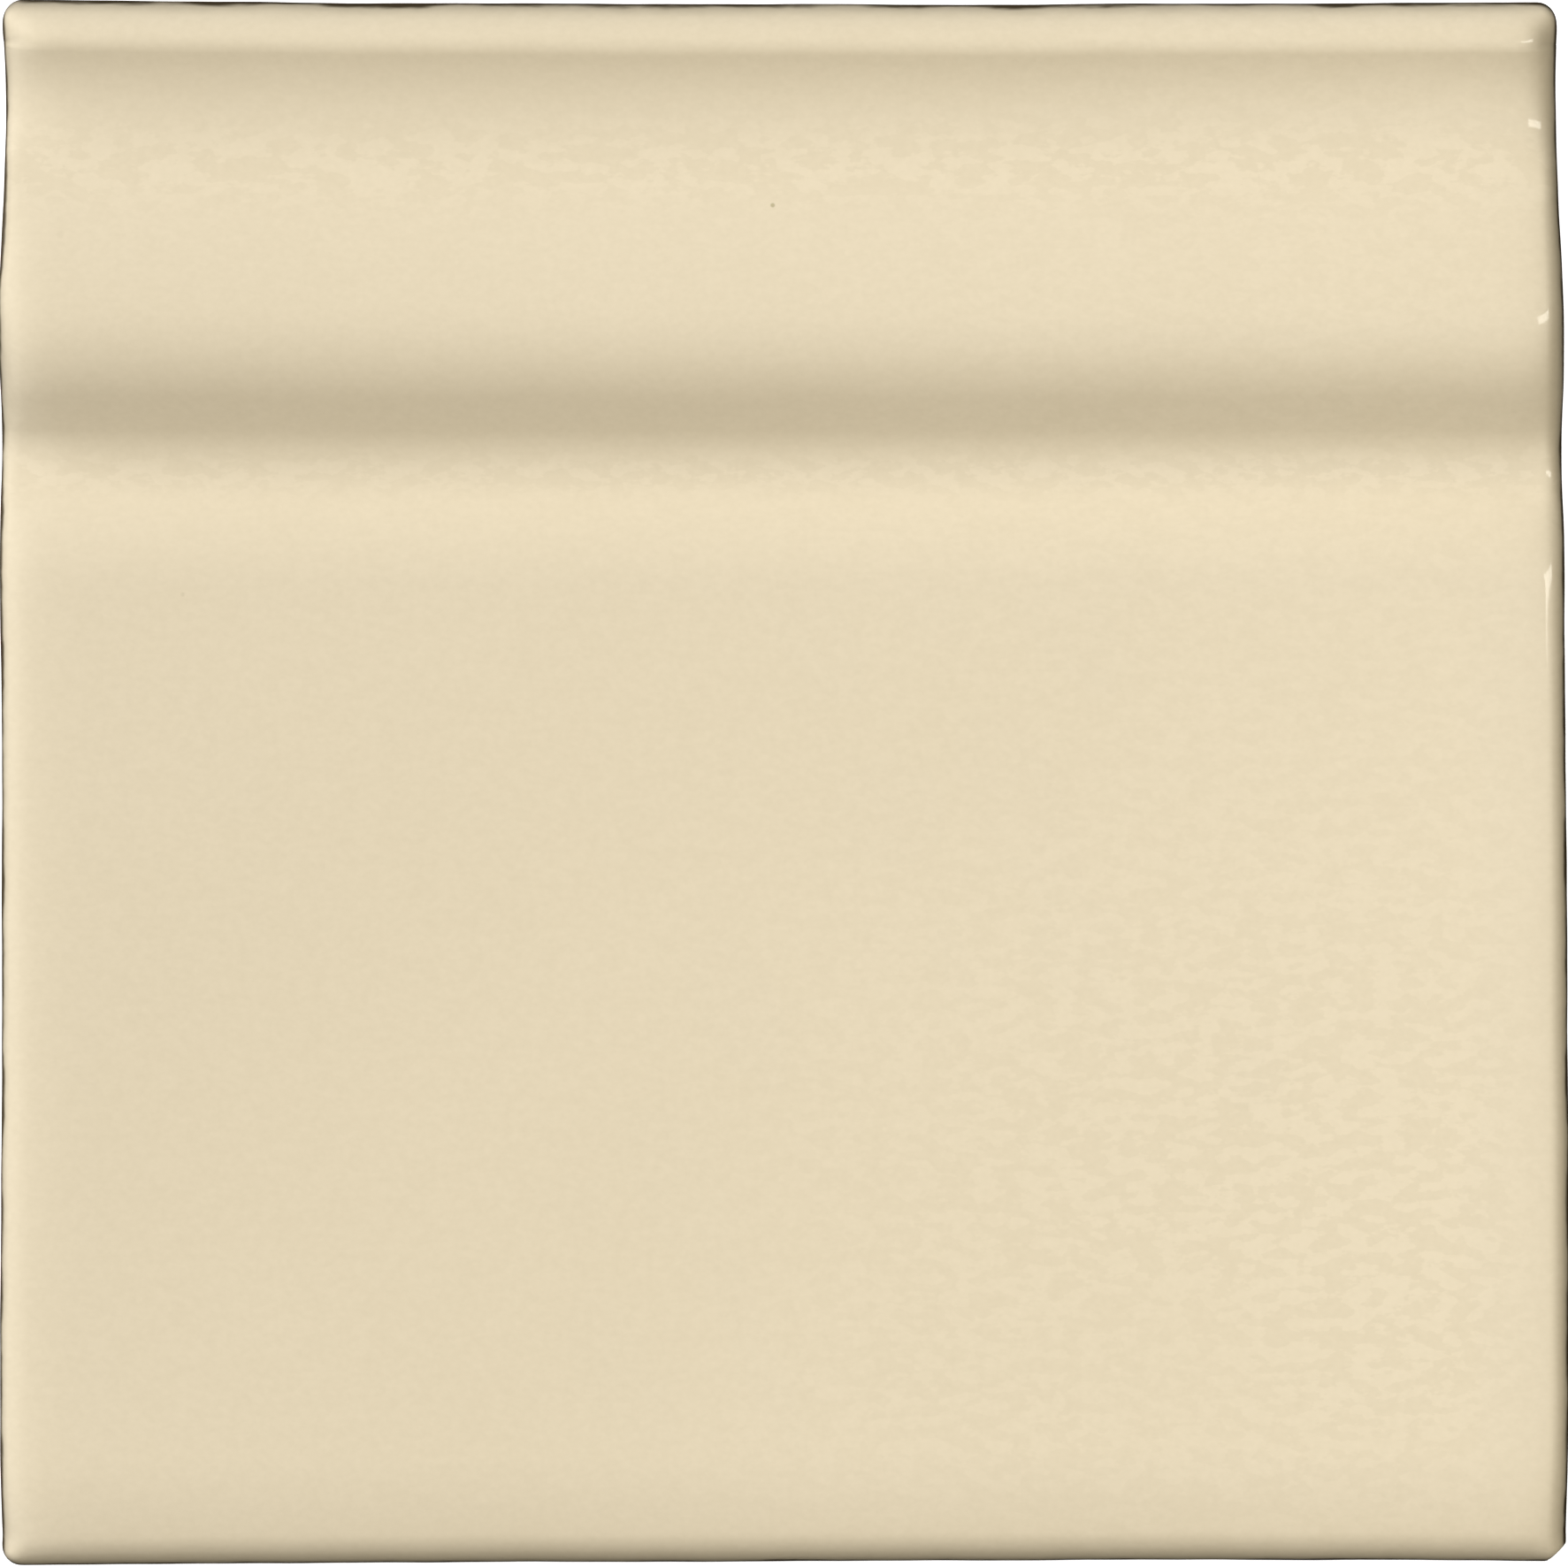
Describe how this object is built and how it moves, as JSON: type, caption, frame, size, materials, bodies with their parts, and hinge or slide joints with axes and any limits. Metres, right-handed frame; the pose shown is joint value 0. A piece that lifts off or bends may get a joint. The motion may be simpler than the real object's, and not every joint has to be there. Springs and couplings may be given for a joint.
{
  "type": "skirting tile",
  "caption": "Square glazed ceramic skirting tile with a plain field, a moulded top of quirk, torus, cavetto and bead, rolled edges and a keyed back.",
  "frame": {"origin": "middle of the back face, on the plane that beds on the wall or rests on the floor", "axes": "+Z out of the glazed face, +Y to the moulded top edge, +X along the wall to the right seen from the face"},
  "size_m": [0.152, 0.152, 0.0133],
  "materials": {
    "cream_glaze": "satin cream glaze on a buff fired body"
  },
  "bodies": {
    "root": {"skirting_tile": "cream_glaze"}
  },
  "joints": []
}
